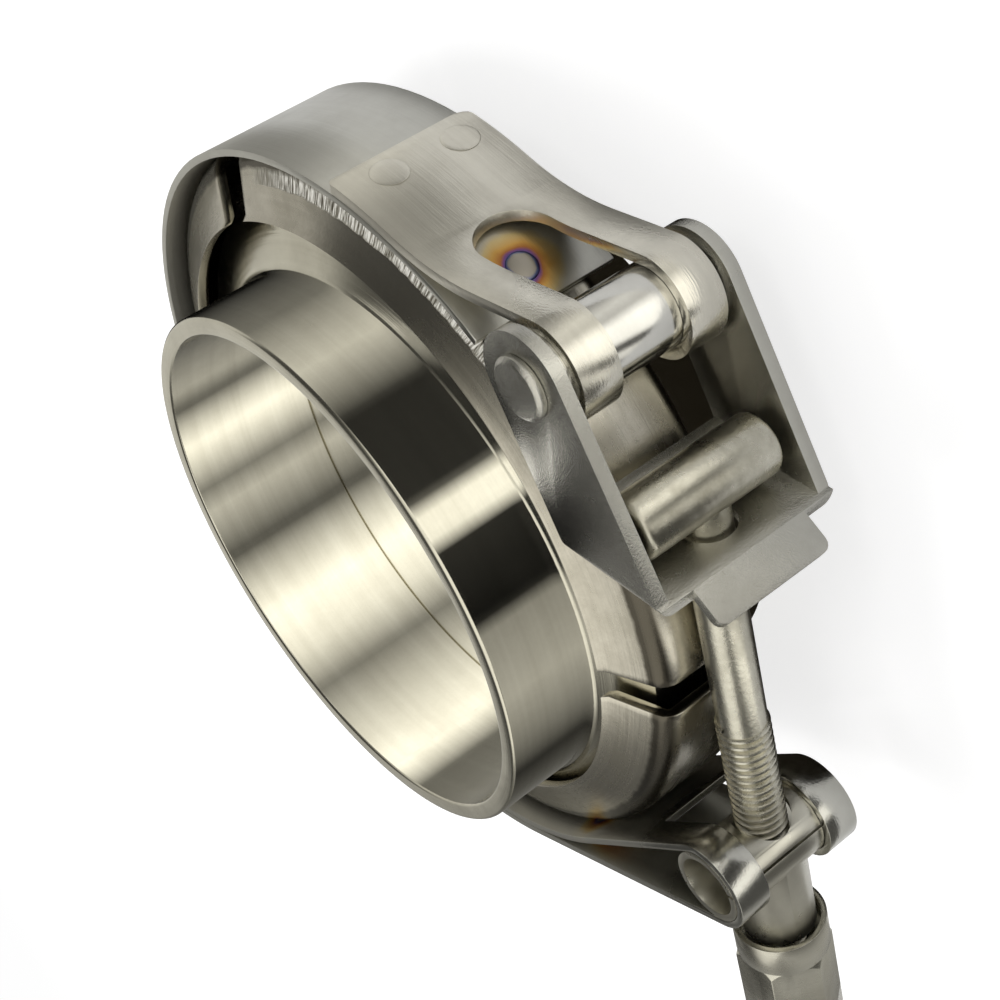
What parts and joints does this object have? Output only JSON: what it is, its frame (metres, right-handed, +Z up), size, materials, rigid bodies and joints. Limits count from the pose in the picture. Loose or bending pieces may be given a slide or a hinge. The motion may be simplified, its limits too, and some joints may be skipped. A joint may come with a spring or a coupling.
{
  "type": "v band clamp",
  "caption": "Stainless V band clamp on two coned exhaust pipe flanges, drawn shut by a T-bolt with a hooked quick-release latch.",
  "frame": {"origin": "centre of the lower flange's mouth, on the pipe axis", "axes": "+Z up the pipe axis to the upper flange; +X along the closed bolt from the nut to the latch pin; the latch is on the -Y side"},
  "size_m": [0.1087, 0.1049, 0.0382],
  "materials": {
    "flange_steel": "turned, with fine lathe rings",
    "strap_steel": "cold-rolled strip, brushed along its length",
    "segment_steel": "pressed strip, satin",
    "latch_steel": "tumbled bright stainless steel",
    "bolt_steel": "bright drawn bar with a rolled thread",
    "trunnion_steel": "satin",
    "nut_steel": "satin, turned"
  },
  "bodies": {
    "band": {"lower_flange": "flange_steel", "upper_flange": "flange_steel", "strap": "strap_steel", "v_segment_a": "segment_steel", "v_segment_b": "segment_steel", "v_segment_c": "segment_steel", "latch_tongue": "strap_steel", "pivot_sleeve": "latch_steel"},
    "latch": {"latch_frame": "latch_steel", "latch_pin": "latch_steel"},
    "bolt": {"t_bolt": "bolt_steel"},
    "swivel": {"trunnion": "trunnion_steel"},
    "nut": {"nut": "nut_steel"}
  },
  "joints": [
    {"name": "latch_swing", "type": "hinge", "parent": "band", "child": "latch", "pos_m": [0.03812, -0.04057, 0.0191], "axis": [0, 0, 1], "range_deg": [0, 10]},
    {"name": "bolt_pivot", "type": "hinge", "parent": "latch", "child": "bolt", "pos_m": [0.02342, -0.04847, 0.0191], "axis": [0, 0, 1], "range_deg": [-13.5, 0.3]},
    {"name": "trunnion_swing", "type": "hinge", "parent": "band", "child": "swivel", "pos_m": [-0.0263, -0.04847, 0.0191], "axis": [0, 0, 1], "range_deg": [-3.1, 0.3]},
    {"name": "nut_spin", "type": "hinge", "parent": "bolt", "child": "nut", "pos_m": [-0.0482, -0.04847, 0.0191], "axis": [1, 0, 0], "continuous": true}
  ],
  "couplings": [
    {"joint": "bolt_pivot", "follows": "latch_swing", "ratio": -1.2714},
    {"joint": "trunnion_swing", "follows": "latch_swing", "ratio": -0.2714}
  ]
}
